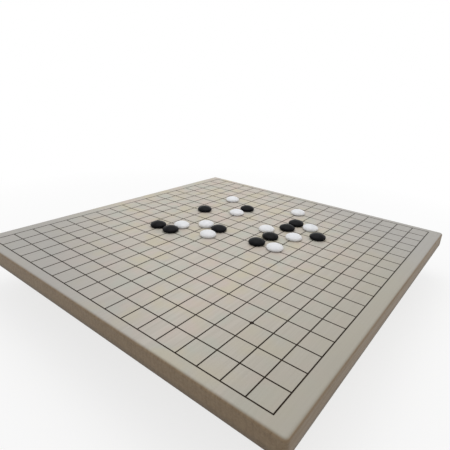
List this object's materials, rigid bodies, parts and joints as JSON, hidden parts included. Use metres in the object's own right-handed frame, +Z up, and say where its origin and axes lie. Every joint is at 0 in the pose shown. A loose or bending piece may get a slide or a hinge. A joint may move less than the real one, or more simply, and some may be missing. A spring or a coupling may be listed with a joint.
{
  "type": "go board with stone drawers",
  "caption": "Square-cornered go board with a printed grid and stones in play, on a low case with drawers at opposite ends that hold the rest of the stones.",
  "frame": {"origin": "centre of the rubber feet's resting plane, under the middle of the board", "axes": "+X across the board to the right of the front player, +Y from the front player to the rear one, +Z up"},
  "size_m": [0.43, 0.452, 0.0766],
  "materials": {
    "board_wood": "pale close-grained wood, clear satin lacquer",
    "print_ink": "screen-printed dark ink",
    "case_wood": "pale wood, satin lacquer",
    "face_wood": "pale wood, satin lacquer",
    "drawer_wood": "pale wood, sanded",
    "runner_wood": "hardwood, waxed",
    "panel_ply": "thin plywood, sanded",
    "knob_wood": "turned hardwood, satin",
    "black_stone": "opaque, smooth satin gloss",
    "white_stone": "opaque, smooth satin gloss",
    "foot_rubber": "matte",
    "screw_steel": "zinc-plated"
  },
  "bodies": {
    "board_and_case": {"playing_board": "board_wood", "grid_lines": "print_ink", "left_side_rail": "case_wood", "right_side_rail": "case_wood", "centre_bulkhead": "case_wood", "bottom_panel": "panel_ply", "front_top_stretcher": "case_wood", "rear_top_stretcher": "case_wood", "front_left_runner": "runner_wood", "front_right_runner": "runner_wood", "rear_left_runner": "runner_wood", "rear_right_runner": "runner_wood", "front_drawer_stop": "case_wood", "rear_drawer_stop": "case_wood", "rubber_feet": "foot_rubber", "foot_screws": "screw_steel", "panel_screws": "screw_steel", "board_screws": "screw_steel", "runner_screws": "screw_steel"},
    "front_drawer": {"front_drawer_face": "face_wood", "front_drawer_left_side": "drawer_wood", "front_drawer_right_side": "drawer_wood", "front_drawer_back": "drawer_wood", "front_drawer_bottom": "panel_ply", "front_drawer_divider": "drawer_wood", "front_drawer_knob": "knob_wood", "front_drawer_knob_screw": "screw_steel", "black_stones_in_drawer": "black_stone"},
    "rear_drawer": {"rear_drawer_face": "face_wood", "rear_drawer_left_side": "drawer_wood", "rear_drawer_right_side": "drawer_wood", "rear_drawer_back": "drawer_wood", "rear_drawer_bottom": "panel_ply", "rear_drawer_divider": "drawer_wood", "rear_drawer_knob": "knob_wood", "rear_drawer_knob_screw": "screw_steel", "white_stones_in_drawer": "white_stone"},
    "black_stone_01": {"black_stone_01": "black_stone"},
    "black_stone_02": {"black_stone_02": "black_stone"},
    "black_stone_03": {"black_stone_03": "black_stone"},
    "black_stone_04": {"black_stone_04": "black_stone"},
    "black_stone_05": {"black_stone_05": "black_stone"},
    "black_stone_06": {"black_stone_06": "black_stone"},
    "black_stone_07": {"black_stone_07": "black_stone"},
    "black_stone_08": {"black_stone_08": "black_stone"},
    "black_stone_09": {"black_stone_09": "black_stone"},
    "black_stone_10": {"black_stone_10": "black_stone"},
    "white_stone_01": {"white_stone_01": "white_stone"},
    "white_stone_02": {"white_stone_02": "white_stone"},
    "white_stone_03": {"white_stone_03": "white_stone"},
    "white_stone_04": {"white_stone_04": "white_stone"},
    "white_stone_05": {"white_stone_05": "white_stone"},
    "white_stone_06": {"white_stone_06": "white_stone"},
    "white_stone_07": {"white_stone_07": "white_stone"},
    "white_stone_08": {"white_stone_08": "white_stone"},
    "white_stone_09": {"white_stone_09": "white_stone"},
    "white_stone_10": {"white_stone_10": "white_stone"}
  },
  "joints": [
    {"name": "drawer_front_slide", "type": "slide", "parent": "board_and_case", "child": "front_drawer", "axis": [0, -1, 0], "range_m": [0, 0.14]},
    {"name": "drawer_rear_slide", "type": "slide", "parent": "board_and_case", "child": "rear_drawer", "axis": [0, 1, 0], "range_m": [0, 0.14]},
    {"name": "stone_black_01_lift", "type": "slide", "parent": "board_and_case", "child": "black_stone_01", "axis": [0, 0, 1], "range_m": [0, 0.03]},
    {"name": "stone_black_02_lift", "type": "slide", "parent": "board_and_case", "child": "black_stone_02", "axis": [0, 0, 1], "range_m": [0, 0.03]},
    {"name": "stone_black_03_lift", "type": "slide", "parent": "board_and_case", "child": "black_stone_03", "axis": [0, 0, 1], "range_m": [0, 0.03]},
    {"name": "stone_black_04_lift", "type": "slide", "parent": "board_and_case", "child": "black_stone_04", "axis": [0, 0, 1], "range_m": [0, 0.03]},
    {"name": "stone_black_05_lift", "type": "slide", "parent": "board_and_case", "child": "black_stone_05", "axis": [0, 0, 1], "range_m": [0, 0.03]},
    {"name": "stone_black_06_lift", "type": "slide", "parent": "board_and_case", "child": "black_stone_06", "axis": [0, 0, 1], "range_m": [0, 0.03]},
    {"name": "stone_black_07_lift", "type": "slide", "parent": "board_and_case", "child": "black_stone_07", "axis": [0, 0, 1], "range_m": [0, 0.03]},
    {"name": "stone_black_08_lift", "type": "slide", "parent": "board_and_case", "child": "black_stone_08", "axis": [0, 0, 1], "range_m": [0, 0.03]},
    {"name": "stone_black_09_lift", "type": "slide", "parent": "board_and_case", "child": "black_stone_09", "axis": [0, 0, 1], "range_m": [0, 0.03]},
    {"name": "stone_black_10_lift", "type": "slide", "parent": "board_and_case", "child": "black_stone_10", "axis": [0, 0, 1], "range_m": [0, 0.03]},
    {"name": "stone_white_01_lift", "type": "slide", "parent": "board_and_case", "child": "white_stone_01", "axis": [0, 0, 1], "range_m": [0, 0.03]},
    {"name": "stone_white_02_lift", "type": "slide", "parent": "board_and_case", "child": "white_stone_02", "axis": [0, 0, 1], "range_m": [0, 0.03]},
    {"name": "stone_white_03_lift", "type": "slide", "parent": "board_and_case", "child": "white_stone_03", "axis": [0, 0, 1], "range_m": [0, 0.03]},
    {"name": "stone_white_04_lift", "type": "slide", "parent": "board_and_case", "child": "white_stone_04", "axis": [0, 0, 1], "range_m": [0, 0.03]},
    {"name": "stone_white_05_lift", "type": "slide", "parent": "board_and_case", "child": "white_stone_05", "axis": [0, 0, 1], "range_m": [0, 0.03]},
    {"name": "stone_white_06_lift", "type": "slide", "parent": "board_and_case", "child": "white_stone_06", "axis": [0, 0, 1], "range_m": [0, 0.03]},
    {"name": "stone_white_07_lift", "type": "slide", "parent": "board_and_case", "child": "white_stone_07", "axis": [0, 0, 1], "range_m": [0, 0.03]},
    {"name": "stone_white_08_lift", "type": "slide", "parent": "board_and_case", "child": "white_stone_08", "axis": [0, 0, 1], "range_m": [0, 0.03]},
    {"name": "stone_white_09_lift", "type": "slide", "parent": "board_and_case", "child": "white_stone_09", "axis": [0, 0, 1], "range_m": [0, 0.03]},
    {"name": "stone_white_10_lift", "type": "slide", "parent": "board_and_case", "child": "white_stone_10", "axis": [0, 0, 1], "range_m": [0, 0.03]}
  ]
}
